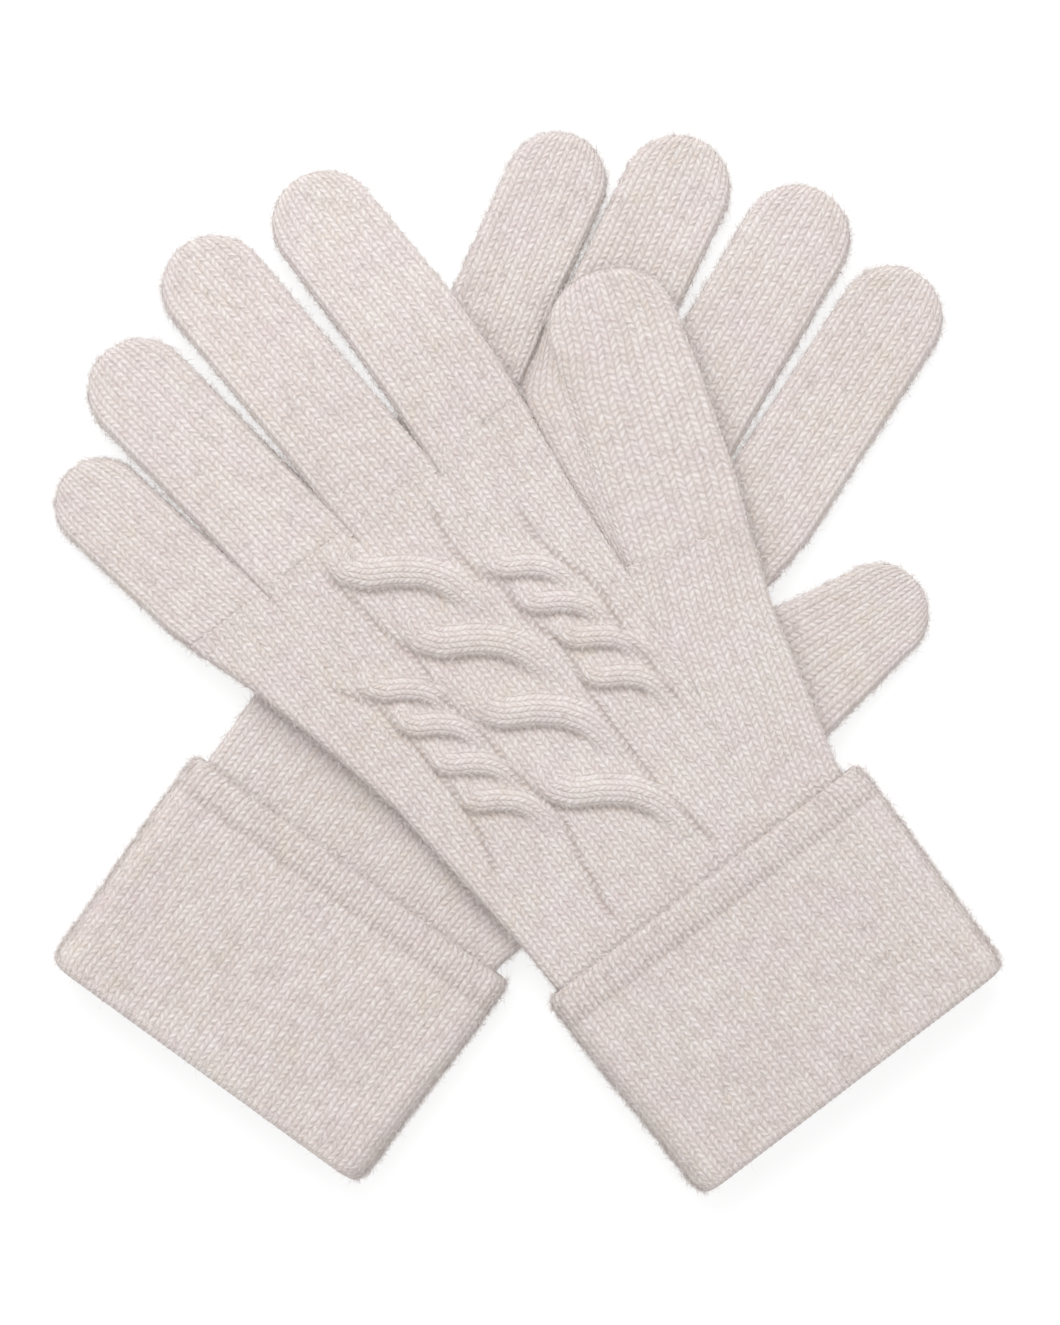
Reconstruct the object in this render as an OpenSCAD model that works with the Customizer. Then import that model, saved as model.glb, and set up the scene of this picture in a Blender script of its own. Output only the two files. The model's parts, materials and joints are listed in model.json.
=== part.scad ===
// A pair of knitted gloves laid flat and crossed, the left one on top.
// The left glove shows its back, the right one its palm, and both have a turned-back cuff.
// Every glove is drawn in its own frame first: X runs towards the thumb, Y from the
// cuff's fold to the fingertips, Z up. The pair's frame has its origin on the table.

/* [Fabric] */
// Thickness of one layer of knit
wall = 1.6; // [1.2:0.1:1.8]
// Air between two layers that lie on each other
layer_gap = 0.4; // [0.3:0.05:0.5]
// Air inside the flattened hand
hand_gap = 1; // [0.8:0.1:1.4]
// Air between the right glove and the left one that lies on it
glove_gap = 0.3; // [0.3:0.1:1]

/* [Cuff] */
// Width of the turned-back cuff
cuff_w = 92; // [88:1:96]
// Length of the turned-back cuff
cuff_l = 60; // [50:1:61]
// Depth of the hem band at the cuff's free edge
hem_l = 8.4; // [6:0.2:12]
// Width of the wrist inside the cuff
wrist_w = 87; // [84:1:88]
// Length of the wrist from the fold to the hand
wrist_l = 62; // [62:1:64]
// Height of the cuff's mouth at the fold
mouth_gap = 7; // [6:0.5:9]

/* [Fingers] */
// Clearance between the two halves of a finger at its knuckle
knuckle_gap = 0.3; // [0.2:0.05:0.6]
// Clearance between the table and the tips
tip_clear = 0.2; // [0.1:0.05:0.4]

/* [Lie] */
// Turn of the left glove on the table
left_turn = 37.3; // [36:0.1:39]
// Turn of the right glove on the table
right_turn = -36; // [-38:0.1:-35]
// Distance of the left cuff's fold from the pair's centre, across
left_x = 78.1; // [77:0.1:80]
// Distance of the left cuff's fold from the pair's centre, along
left_y = -99.7; // [-101:0.1:-98]
// Distance of the right cuff's fold from the pair's centre, across
right_x = -77.5; // [-80:0.1:-77]
// Distance of the right cuff's fold from the pair's centre, along
right_y = -97.7; // [-99:0.1:-96]

/* [Hidden] */
$fn = 64;

// Places in a glove's list of sizes
TURN = 0;
FOLD = 1;
FLOOR = 2;
LITTLE_EDGE = 3;
THUMB_EDGE = 4;
CROTCH = 5;
FINGER_LINE = 6;
THUMB = 7;
FINGERS = 8;

// Places in a digit's list: base, tip, half width, knuckle, tilt, tilt of the end
BASE = 0;
TIP = 1;
HALF = 2;
KNUCKLE = 3;
TILT = 4;
END_TILT = 5;

// Heights
fold_z = wall + layer_gap;
hand_t = 2 * wall + hand_gap;
right_z = fold_z;
left_z = right_z + hand_t + glove_gap;
mouth_z = fold_z + wall + mouth_gap;
side = wall;
fold_end = 0.3;

RIGHT = [right_turn, [right_x, right_y], right_z,
         [[-43.4, wrist_l], [-43.8, 80], [-49, 120], [-57, 165], [-60.3, 178]],
         [[42.5, wrist_l], [54, 104], [60.9, 121.3]],
         [30.8, 131], [42.6, 178],
         [[30.8, 131], [60.9, 121.3], [68.5, 135], [73.6, 151.4], [78.3, 181], [66.6, 184.3],
          [55.4, 189.5], [44.6, 168.9]],
         [[[30.3, 178], [27, 242.9], 12.4, 40, drop(77.4), 0],
          [[3.7, 178], [-2.7, 245], 12.9, 41, drop(80.2), 0],
          [[-22.4, 178], [-33.1, 237.8], 12.8, 41, drop(73.6), 0],
          [[-48.3, 178], [-57.5, 221.9], 11.9, 29, drop(56.8), 0],
          [[46, 119.5], [66.6, 184.3], 12, 50, 0, drop(30.1)]]];

LEFT = [left_turn, [left_x, left_y], left_z,
        [[-43.5, wrist_l], [-44, 76], [-48, 118], [-57.5, 161], [-64, 179]],
        [[42.5, wrist_l], [54, 104], [60.9, 121.3]],
        [30.8, 131], [34, 179],
        [[30.8, 131], [60.9, 121.3], [66, 134], [78.5, 173.5], [65.6, 177.5], [53.5, 183.2],
         [48.5, 184.8], [36, 178.2]],
        [[[21.5, 179], [24, 239.6], 12.5, 31, 0, left_drop(42)],
         [[-3.7, 179], [-6.7, 243.7], 12.6, 34, 0, left_drop(43.5)],
         [[-28.9, 179], [-35.9, 234.3], 12.5, 30, left_drop(68.2), 0],
         [[-53, 179], [-60, 218.2], 11, 21, left_drop(51), 0],
         [[46, 119.5], [65.6, 177.5], 13.4, 43.2, 0, 0]]];

// Tilt that brings a stretch of the given length down to the table
function drop(length) = asin((right_z - tip_clear) / length);
function left_drop(length) = asin((left_z - tip_clear) / length);

// Heights of the wrist's lower and upper layer at a distance from the fold
function low_z(g, y) = fold_z + (g[FLOOR] - fold_z) * y / wrist_l;
function high_z(g, y) = mouth_z + (g[FLOOR] + wall + hand_gap - mouth_z) * y / wrist_l;

// Direction and length of a digit
function heading(d) = atan2(d[TIP][0] - d[BASE][0], d[TIP][1] - d[BASE][1]);
function reach(d) = norm(d[TIP] - d[BASE]);
function shifted(points, dx) = [for (p = points) [p[0] + dx, p[1]]];
function reversed(points) = [for (i = [len(points) - 1 : -1 : 0]) points[i]];

// Puts a glove's own frame in its place on the table
module lie(g) {
    translate([g[FOLD][0], g[FOLD][1], 0]) rotate([0, 0, g[TURN]]) children();
}

// A flat layer of knit that may slope along the glove
module sheet(width, y0, y1, z0, z1, thick) {
    translate([-width / 2, 0, 0]) rotate([90, 0, 90]) linear_extrude(width)
        polygon([[y0, z0], [y1, z1], [y1, z1 + thick], [y0, z0 + thick]]);
}

// One face of the hand, without fingers and thumb
module panel(g, z) {
    index_side = [g[FINGER_LINE][0], g[FINGER_LINE][1]];
    outline = concat(g[THUMB_EDGE], [g[CROTCH], index_side], reversed(g[LITTLE_EDGE]));
    translate([0, 0, z]) linear_extrude(wall) polygon(outline);
}

// The knit's turn from one face to the other along an edge of the hand
module edge_turn(g, points, inward) {
    translate([0, 0, g[FLOOR] + wall]) linear_extrude(hand_gap)
        polygon(concat(points, reversed(shifted(points, inward))));
}

// The same turn beside the wrist, where the layers part towards the mouth
module wrist_turn(g, x) {
    y0 = fold_end;
    y1 = wrist_l;
    translate([x, 0, 0]) rotate([90, 0, 90]) linear_extrude(side)
        polygon([[y0, low_z(g, y0) + wall], [y1, low_z(g, y1) + wall],
                 [y1, high_z(g, y1)], [y0, high_z(g, y0)]]);
}

module wrist_low(g) {
    sheet(wrist_w, fold_end, wrist_l, low_z(g, fold_end), low_z(g, wrist_l), wall);
}

module wrist_high(g) {
    sheet(wrist_w, fold_end, wrist_l, high_z(g, fold_end), high_z(g, wrist_l), wall);
}

// The turned-back cuff below and above the wrist, between two distances from the fold
module cuff_low(g, y0, y1) {
    drop_z = wall + layer_gap;
    sheet(cuff_w, y0, y1, low_z(g, y0) - drop_z, low_z(g, y1) - drop_z, wall);
}

module cuff_high(g, y0, y1, extra) {
    lift_z = wall + layer_gap;
    sheet(cuff_w, y0, y1, high_z(g, y0) + lift_z, high_z(g, y1) + lift_z, wall + extra);
}

// Plan of a digit in its own frame, which starts at its base and runs along Y
module digit_plan(g, d) {
    if (d[BASE] == g[FINGERS][4][BASE]) {
        rotate([0, 0, heading(d)]) translate(-d[BASE]) polygon(g[THUMB]);
    } else {
        translate([-d[HALF], -5]) square([2 * d[HALF], reach(d) + 5]);
    }
    translate([0, reach(d)]) circle(d[HALF]);
}

// A flattened digit between two distances along it
module digit_piece(g, d, y0, y1) {
    linear_extrude(hand_t) intersection() {
        digit_plan(g, d);
        translate([-60, y0]) square([120, y1 - y0]);
    }
}

// A digit's own frame: it starts at its base and tilts about its lower edge there
module digit_frame(g, d) {
    translate([d[BASE][0], d[BASE][1], g[FLOOR]]) rotate([0, 0, -heading(d)])
        rotate([-d[TILT], 0, 0]) children();
}

module digit_base(g, i) {
    d = g[FINGERS][i];
    start = i == 4 ? 0 : g[FINGER_LINE][1];
    intersection() {
        digit_frame(g, d) digit_piece(g, d, -20, d[KNUCKLE] - knuckle_gap / 2);
        translate([-150, start, 0]) cube([300, 300, 60]);
    }
}

// The end turns about the knuckle's upper edge, and its face is cut square to the base
module digit_end(g, i) {
    d = g[FINGERS][i];
    far = 80;
    digit_frame(g, d) intersection() {
        translate([0, d[KNUCKLE], hand_t]) rotate([-d[END_TILT], 0, 0])
            translate([0, -d[KNUCKLE], -hand_t]) digit_piece(g, d, d[KNUCKLE] - 3, d[KNUCKLE] + far);
        translate([-60, d[KNUCKLE] + knuckle_gap / 2, -30]) cube([120, far, 60]);
    }
}

// The four pieces of each kind that both gloves share
module lower_panel(g) { lie(g) panel(g, g[FLOOR]); }
module upper_panel(g) { lie(g) panel(g, g[FLOOR] + wall + hand_gap); }
module little_turn(g) { lie(g) edge_turn(g, g[LITTLE_EDGE], side); }
module thumb_turn(g) { lie(g) edge_turn(g, g[THUMB_EDGE], -side); }
module lower_wrist(g) { lie(g) wrist_low(g); }
module upper_wrist(g) { lie(g) wrist_high(g); }
module little_wrist_turn(g) { lie(g) wrist_turn(g, -wrist_w / 2); }
module thumb_wrist_turn(g) { lie(g) wrist_turn(g, wrist_w / 2 - side); }
module lower_cuff(g) { lie(g) cuff_low(g, 0, cuff_l - hem_l); }
module upper_cuff(g) { lie(g) cuff_high(g, 0, cuff_l - hem_l, 0); }
module lower_hem(g) { lie(g) cuff_low(g, cuff_l - hem_l, cuff_l); }
module upper_hem(g) { lie(g) cuff_high(g, cuff_l - hem_l, cuff_l, layer_gap); }
module base_piece(g, i) { lie(g) digit_base(g, i); }
module end_piece(g, i) { lie(g) digit_end(g, i); }

oat = [0.86, 0.82, 0.80];
oat_warm = [0.86, 0.81, 0.77];
oat_dark = [0.78, 0.73, 0.70];
oat_light = [0.91, 0.88, 0.86];

module right_back_panel() { color(oat_dark) lower_panel(RIGHT); }
module right_palm_panel() { color(oat_warm) upper_panel(RIGHT); }
module right_little_edge() { color(oat_dark) little_turn(RIGHT); }
module right_thumb_edge() { color(oat_dark) thumb_turn(RIGHT); }
module right_wrist_back() { color(oat_dark) lower_wrist(RIGHT); }
module right_wrist_palm() { color(oat_warm) upper_wrist(RIGHT); }
module right_wrist_little_edge() { color(oat_dark) little_wrist_turn(RIGHT); }
module right_wrist_thumb_edge() { color(oat_dark) thumb_wrist_turn(RIGHT); }
module right_cuff_back() { color(oat) lower_cuff(RIGHT); }
module right_cuff_palm() { color(oat) upper_cuff(RIGHT); }
module right_hem_back() { color(oat_light) lower_hem(RIGHT); }
module right_hem_palm() { color(oat_light) upper_hem(RIGHT); }
module right_index_base() { color(oat_warm) base_piece(RIGHT, 0); }
module right_middle_base() { color(oat_warm) base_piece(RIGHT, 1); }
module right_ring_base() { color(oat_warm) base_piece(RIGHT, 2); }
module right_little_base() { color(oat_warm) base_piece(RIGHT, 3); }
module right_thumb_base() { color(oat_warm) base_piece(RIGHT, 4); }
module right_index_end() { color(oat_light) end_piece(RIGHT, 0); }
module right_middle_end() { color(oat_light) end_piece(RIGHT, 1); }
module right_ring_end() { color(oat_light) end_piece(RIGHT, 2); }
module right_little_end() { color(oat_light) end_piece(RIGHT, 3); }
module right_thumb_end() { color(oat_light) end_piece(RIGHT, 4); }

module left_back_panel() { color(oat) upper_panel(LEFT); }
module left_palm_panel() { color(oat_dark) lower_panel(LEFT); }
module left_little_edge() { color(oat_dark) little_turn(LEFT); }
module left_thumb_edge() { color(oat_dark) thumb_turn(LEFT); }
module left_wrist_back() { color(oat) upper_wrist(LEFT); }
module left_wrist_palm() { color(oat_dark) lower_wrist(LEFT); }
module left_wrist_little_edge() { color(oat_dark) little_wrist_turn(LEFT); }
module left_wrist_thumb_edge() { color(oat_dark) thumb_wrist_turn(LEFT); }
module left_cuff_back() { color(oat) upper_cuff(LEFT); }
module left_cuff_palm() { color(oat) lower_cuff(LEFT); }
module left_hem_back() { color(oat_light) upper_hem(LEFT); }
module left_hem_palm() { color(oat_light) lower_hem(LEFT); }
module left_index_base() { color(oat) base_piece(LEFT, 0); }
module left_middle_base() { color(oat) base_piece(LEFT, 1); }
module left_ring_base() { color(oat) base_piece(LEFT, 2); }
module left_little_base() { color(oat) base_piece(LEFT, 3); }
module left_thumb_base() { color(oat) base_piece(LEFT, 4); }
module left_index_end() { color(oat_light) end_piece(LEFT, 0); }
module left_middle_end() { color(oat_light) end_piece(LEFT, 1); }
module left_ring_end() { color(oat_light) end_piece(LEFT, 2); }
module left_little_end() { color(oat_light) end_piece(LEFT, 3); }
module left_thumb_end() { color(oat_light) end_piece(LEFT, 4); }

right_back_panel();
right_palm_panel();
right_little_edge();
right_thumb_edge();
right_wrist_back();
right_wrist_palm();
right_wrist_little_edge();
right_wrist_thumb_edge();
right_cuff_back();
right_cuff_palm();
right_hem_back();
right_hem_palm();
right_index_base();
right_middle_base();
right_ring_base();
right_little_base();
right_thumb_base();
right_index_end();
right_middle_end();
right_ring_end();
right_little_end();
right_thumb_end();
left_back_panel();
left_palm_panel();
left_little_edge();
left_thumb_edge();
left_wrist_back();
left_wrist_palm();
left_wrist_little_edge();
left_wrist_thumb_edge();
left_cuff_back();
left_cuff_palm();
left_hem_back();
left_hem_palm();
left_index_base();
left_middle_base();
left_ring_base();
left_little_base();
left_thumb_base();
left_index_end();
left_middle_end();
left_ring_end();
left_little_end();
left_thumb_end();
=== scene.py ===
import json
import math

import bpy
import numpy as np
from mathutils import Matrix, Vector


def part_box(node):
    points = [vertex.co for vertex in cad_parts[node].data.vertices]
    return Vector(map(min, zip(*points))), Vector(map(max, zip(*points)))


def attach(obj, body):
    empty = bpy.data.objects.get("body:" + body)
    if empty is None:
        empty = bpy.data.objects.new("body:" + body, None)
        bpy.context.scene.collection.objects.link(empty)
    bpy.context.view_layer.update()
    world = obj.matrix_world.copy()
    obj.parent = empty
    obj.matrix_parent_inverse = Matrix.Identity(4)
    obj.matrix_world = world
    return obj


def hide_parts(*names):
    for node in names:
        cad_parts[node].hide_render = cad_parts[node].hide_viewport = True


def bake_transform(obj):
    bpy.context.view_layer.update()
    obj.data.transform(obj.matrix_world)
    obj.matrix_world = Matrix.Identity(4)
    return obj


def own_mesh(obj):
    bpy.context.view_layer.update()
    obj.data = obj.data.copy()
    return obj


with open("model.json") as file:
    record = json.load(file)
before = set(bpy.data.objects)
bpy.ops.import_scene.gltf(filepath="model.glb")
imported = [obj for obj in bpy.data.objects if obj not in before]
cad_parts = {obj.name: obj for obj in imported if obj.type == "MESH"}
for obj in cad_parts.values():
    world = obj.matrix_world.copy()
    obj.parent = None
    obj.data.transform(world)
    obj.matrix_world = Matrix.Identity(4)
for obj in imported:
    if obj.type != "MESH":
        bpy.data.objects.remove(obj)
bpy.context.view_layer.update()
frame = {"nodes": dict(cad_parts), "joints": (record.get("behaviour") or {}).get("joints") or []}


# The table and the light. The pair lies on a white light table, which glows and so keeps
# the shadows faint, under a large soft lamp that stands beyond the fingertips, with white
# room light from everywhere else.
bpy.ops.object.select_all(action="DESELECT")
bpy.ops.mesh.primitive_plane_add(size=6, location=(0, 0, -0.0004))
table = bpy.context.object
table.name = "table"
table_white = bpy.data.materials.new("table_white")
table_white.use_nodes = True
table_paint = table_white.node_tree.nodes["Principled BSDF"]
table_paint.inputs["Base Color"].default_value = (0.25, 0.25, 0.25, 1)
table_paint.inputs["Emission Color"].default_value = (1, 1, 1, 1)
table_paint.inputs["Emission Strength"].default_value = 0.75
table_paint.inputs["Roughness"].default_value = 0.9
table.data.materials.append(table_white)

room = bpy.data.worlds.new("room")
bpy.context.scene.world = room
room.use_nodes = True
room.node_tree.nodes["Background"].inputs["Color"].default_value = (1, 1, 1, 1)
room.node_tree.nodes["Background"].inputs["Strength"].default_value = 0.96

lamp_place = (-0.25, 1.05, 0.95)
bpy.ops.object.light_add(type="AREA", location=lamp_place)
lamp = bpy.context.object
lamp.name = "soft_lamp"
lamp.data.shape = "DISK"
lamp.data.size = 1.3
lamp.data.energy = 17
lamp.rotation_euler = (math.atan2(-lamp_place[1], lamp_place[2]), -0.2, 0)

# The camera looks straight down from about three quarters of a metre.
frame_height = 0.318
lens = 85
sensor = 36
glove_top = 0.008
bpy.ops.object.camera_add(location=(0.0005, 0.0005, glove_top + frame_height * lens / sensor))
camera = bpy.context.object
camera.data.lens = lens
camera.data.sensor_width = sensor
camera.rotation_euler = (0, 0, 0)
bpy.context.scene.camera = camera
bpy.context.scene.view_settings.view_transform = "Standard"


# The hand of each glove, from the cuff's fold to the roots of the fingers: one fine knitted
# tube of goat's wool, pressed flat, so its upper and lower face turn into each other at the
# edges. One wide cable between two narrow ones is knitted into the back of the hand.
stitch_w = 1.46
stitch_h = 1.68
lean = 0.72
leg_bow = 3.7
sheet_t = 1.9
relief_mm = 0.24
wrist_long = 62
fineness = {"upper": 3, "lower": 2}
random = np.random.default_rng(7)


class Glove:
    """A glove's own millimetres: u across towards the thumb, v from the fold to the tips."""

    def __init__(self, side, upper, lower):
        self.side = side
        self.upper = upper
        self.lower = lower
        self.hand_body = f"{side}_hand"
        joints = {j["name"]: j for j in frame["joints"]}
        top = joints[f"{side}_cuff_{upper}_unfold"]
        bottom = joints[f"{side}_cuff_{lower}_unfold"]
        self.across = np.array(top["axis"][:2])
        self.along = np.array([-self.across[1], self.across[0]])
        self.fold = np.array(top["pos_m"][:2]) * 1000
        self.top_joint_z = top["pos_m"][2] * 1000
        self.bottom_joint_z = bottom["pos_m"][2] * 1000
        self.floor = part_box(f"{side}_{lower}_panel")[0].z * 1000
        self.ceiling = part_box(f"{side}_{upper}_panel")[1].z * 1000
        self.joints = joints

    def to_row(self, u, v, z):
        """Points in the glove's frame as rows of x, y, z in the pair's frame."""
        flat = self.fold + np.outer(u, self.across) + np.outer(v, self.along)
        return np.column_stack([flat, z])

    def seen(self, face):
        """Which side of the hand a face is: the back or the palm."""
        return self.upper if face == "upper" else self.lower

    def faces(self, v):
        """Heights of the hand's lower and upper face at a distance from the fold."""
        soft = 3
        inset = 0.2
        near = soft * np.log1p(np.exp((wrist_long - v) / soft)) / wrist_long
        skin = (self.ceiling - self.floor) / 2 - sheet_t
        low = self.floor + (self.bottom_joint_z + inset - self.floor) * near + skin
        high = self.ceiling + (self.top_joint_z - inset - self.ceiling) * near - skin
        return low, high

    def hold(self, thing):
        """Makes a thing go with the hand."""
        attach(thing, self.hand_body)


def smooth(x, low=0.0, high=1.0):
    """0 below low, 1 above high and a soft step between them."""
    t = np.clip((x - low) / (high - low), 0, 1)
    return t * t * (3 - 2 * t)


def curve(points, softness=5.0):
    """A smooth line through a few given points (distance, value), as a function. It runs
    straight on past its ends."""
    at, value = np.array(points, float).T
    beyond = 30
    step = 0.5
    fine = np.arange(at[0] - beyond, at[-1] + beyond, step)
    line = np.interp(fine, at, value)
    line = line + (fine < at[0]) * (fine - at[0]) * (value[1] - value[0]) / (at[1] - at[0])
    line = line + (fine > at[-1]) * (fine - at[-1]) * (value[-1] - value[-2]) / (at[-1] - at[-2])
    width = int(softness / step) | 1
    bell = np.hanning(width + 2)
    soft = np.convolve(np.pad(line, width, mode="edge"), bell / bell.sum(), "same")[width:-width]
    return lambda x: np.interp(x, fine, soft)


def across(t, left, right, rim_left, rim_right):
    """A flattened tube's face: t from 0 to 1 along its skin gives the place across and the rise."""
    arc_left = rim_left * np.pi / 2
    arc_right = rim_right * np.pi / 2
    flat = right - left - rim_left - rim_right
    s = t * (arc_left + flat + arc_right)
    turn_left = np.clip((arc_left - s) / rim_left, 0, np.pi / 2)
    turn_right = np.clip((s - arc_left - flat) / rim_right, 0, np.pi / 2)
    x = left + rim_left * (1 - np.sin(turn_left)) + np.clip(s - arc_left, 0, flat)
    x = x + rim_right * np.sin(turn_right)
    return x, np.cos(turn_left) * np.cos(turn_right)


def stitches(p, q):
    """Height from 0 to 1 of plain knit: two slanting legs a stitch, p counts legs, q courses."""
    leg = np.floor(p)
    x = p - leg - 0.5
    way = 1 - 2 * (leg % 2)
    strand = 0.5 + 0.5 * np.cos(2 * np.pi * (q + way * lean * x))
    return np.sqrt(1 - leg_bow * x * x) * (0.5 + 0.5 * strand)


def knit_sheet(name, place, legs, courses, fine, start=(0, 0), twist=None):
    """A grid laid over legs by courses, moved to place(p, q) and raised by its stitches.
    place gives points, the share of relief there and the painted shade that darkens the wool.
    twist gives the strand each point lies on, its legs and courses there, and the plain legs."""
    bpy.ops.object.select_all(action="DESELECT")
    bpy.ops.mesh.primitive_grid_add(
        x_subdivisions=round(legs * fine), y_subdivisions=round(courses * fine), size=1
    )
    sheet = bpy.context.object
    sheet.name = name
    sheet.data.name = name
    flat = np.zeros(len(sheet.data.vertices) * 3)
    sheet.data.vertices.foreach_get("co", flat)
    flat = flat.reshape(-1, 3)
    p = start[0] + np.clip(flat[:, 0] + 0.5, 0, 1) * legs
    q = start[1] + np.clip(flat[:, 1] + 0.5, 0, 1) * courses
    points, share, shade = place(p, q)
    normal = skin_normal(place, p, q)
    corner = np.zeros(len(sheet.data.loops), int)
    sheet.data.loops.foreach_get("vertex_index", corner)
    if twist:
        strand_of, legs_there, courses_there, p = twist(p, q)
    # Each corner keeps its legs, its courses and its painted shade.
    count = np.column_stack([p, q, shade])[corner]
    if twist:
        faces = strand_of[corner].reshape(-1, 4)
        whole = np.repeat((faces[:, 0] > 0) & (faces.min(axis=1) == faces.max(axis=1)), 4)
        count[whole, 0] = legs_there[corner][whole]
        count[whole, 1] = courses_there[corner][whole]
        p = np.where(strand_of > 0, legs_there, p)
        q = np.where(strand_of > 0, courses_there, q)
    mean_height = 0.55
    height = (stitches(p, q) - mean_height) * relief_mm * share
    points = points + normal * height[:, None]
    sheet.data.vertices.foreach_set("co", (points / 1000).ravel())
    knit = sheet.data.attributes.new("knit", "FLOAT_VECTOR", "CORNER")
    knit.data.foreach_set("vector", count.ravel())
    sheet.data.update()
    bpy.ops.object.shade_smooth()
    return sheet


def skin_normal(place, p, q):
    """Outward direction of a laid sheet at each point."""
    step = 0.03
    ahead = place(p + step, q)[0] - place(p - step, q)[0]
    up = place(p, q + step)[0] - place(p, q - step)[0]
    normal = np.cross(ahead, up)
    size = np.linalg.norm(normal, axis=1)
    normal[size < 1e-9] = (0, 0, 1)
    size[size < 1e-9] = 1
    return normal / size[:, None]


def weld(name, *sheets):
    """Joins sheets into one piece and closes the seams between them."""
    bpy.ops.object.select_all(action="DESELECT")
    for sheet in sheets:
        sheet.select_set(True)
    bpy.context.view_layer.objects.active = sheets[0]
    if len(sheets) > 1:
        bpy.ops.object.join()
    piece = bpy.context.object
    piece.name = name
    piece.data.name = name
    bpy.ops.object.mode_set(mode="EDIT")
    bpy.ops.mesh.select_all(action="SELECT")
    bpy.ops.mesh.remove_doubles(threshold=0.00004)
    bpy.ops.object.mode_set(mode="OBJECT")
    return piece


left = Glove("left", "back", "palm")
right = Glove("right", "palm", "back")
gloves = (right, left)

hand_legs = 60
thumb_legs = 20
cuff_start = 2.5
roots = {"left": 179.0, "right": 178.0}
little_edge = {
    "left": curve([
        (0, -43.5), (62, -43.5), (76, -44), (118, -48), (140, -52.5), (161, -57.8), (179, -64),
    ]),
    "right": curve([(0, -43.4), (62, -43.4), (80, -43.8), (120, -49), (165, -57), (178, -60.3)]),
}
thumb_edge = curve([(0, 42.5), (62, 42.5), (104, 54), (121.3, 60.9), (131, 64.5)])
split_line = {
    "left": curve([
        (0, 21), (62, 21), (90, 25.5), (112, 29), (131, 30.9), (150, 32.2), (164, 34), (179, 36),
    ], 9),
    "right": curve([(0, 21), (62, 21), (90, 25.5), (112, 29), (131, 31), (150, 36), (178, 42)], 9),
}
crotch_v = 131.0
thumb_root = ((30.8, 131.0), (60.9, 121.3))
root_creases = {"left": (9.2, -16.3, -41.5), "right": (17.2, -9.4, -35.8)}

# The wide cable and each narrow one beside it cross four times. A strand comes out on the
# left, swings over to the right and dives under the next one.
wide_crossings = ((-26.0, 163.0), (-21.5, 139.0), (-20.0, 116.7), (-18.2, 91.5))
left_rope = ((-36.5, 139.8), (-35.5, 128.4), (-34.6, 116.0), (-34.6, 105.0))
right_rope = ((4.6, 145.6), (5.6, 134.0), (8.0, 121.8), (6.6, 111.0))
strand_path = (
    (5.8, 18.0, 0.1), (3.8, 12.8, 0.45), (3.2, 8.0, 0.8), (6.6, 3.8, 1.0), (12.9, 0.2, 1.0),
    (18.2, -4.3, 1.0), (21.5, -9.6, 0.85), (22.9, -15.3, 0.5), (22.9, -21.5, 0.1),
)
# A strand's size against the wide one's path, its half width and its height.
strand_sizes = {"wide": (1.0, 3.9, 1.6), "narrow": (0.6, 2.9, 1.2)}
rope_stitch_w = 1.35
rope_stitch_h = 1.5
cable_grooves = (
    (
        (172, -27.5), (165, -26), (155, -24.8), (143, -22), (133, -23), (120, -20.3),
        (106, -20), (93, -16.5),
    ),
    ((93, -17), (82, -20), (66, -22.5)),
    (
        (170, 2.5), (160, 0.5), (150, 2), (144, 5), (135, 4.8), (125, 8), (118, 6.8),
        (108, 5.5), (85, 5.2), (66, 8),
    ),
    ((150, -42.5), (139, -36.2), (125, -35), (110, -34.2), (101, -35.6), (92, -38)),
    ((157, 19.2), (150, 18), (142, 19.8), (130, 22.8), (118, 21), (98, 21.8)),
)


def strand(u, v, corner, scale):
    """Distance along a strand and across it, negative below it, and the strand's height there."""
    path = np.array(strand_path)
    pieces = 40
    length = 80
    knots = np.linspace(0, 1, len(path))
    fine = np.linspace(0, 1, pieces + 1)
    x, y, lift = (
        curve(np.column_stack([knots * length, path[:, i]]), 8)(fine * length) for i in range(3)
    )
    x = corner[0] + x * scale
    y = corner[1] + y * scale
    step = np.hypot(np.diff(x), np.diff(y))
    reach = np.concatenate([[0], np.cumsum(step)])
    best = np.full(u.shape, 1e9)
    along = np.zeros(u.shape)
    aside = np.zeros(u.shape)
    high = np.zeros(u.shape)
    for i in range(pieces):
        dx = (x[i + 1] - x[i]) / step[i]
        dy = (y[i + 1] - y[i]) / step[i]
        s = np.clip((u - x[i]) * dx + (v - y[i]) * dy, 0, step[i])
        gap = np.hypot(u - x[i] - s * dx, v - y[i] - s * dy)
        near = gap < best
        best = np.where(near, gap, best)
        along = np.where(near, reach[i] + s, along)
        aside = np.where(near, gap * np.sign(dx * (v - y[i]) - dy * (u - x[i])), aside)
        high = np.where(near, lift[i] + (lift[i + 1] - lift[i]) * s / step[i], high)
    return along, aside, high


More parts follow.
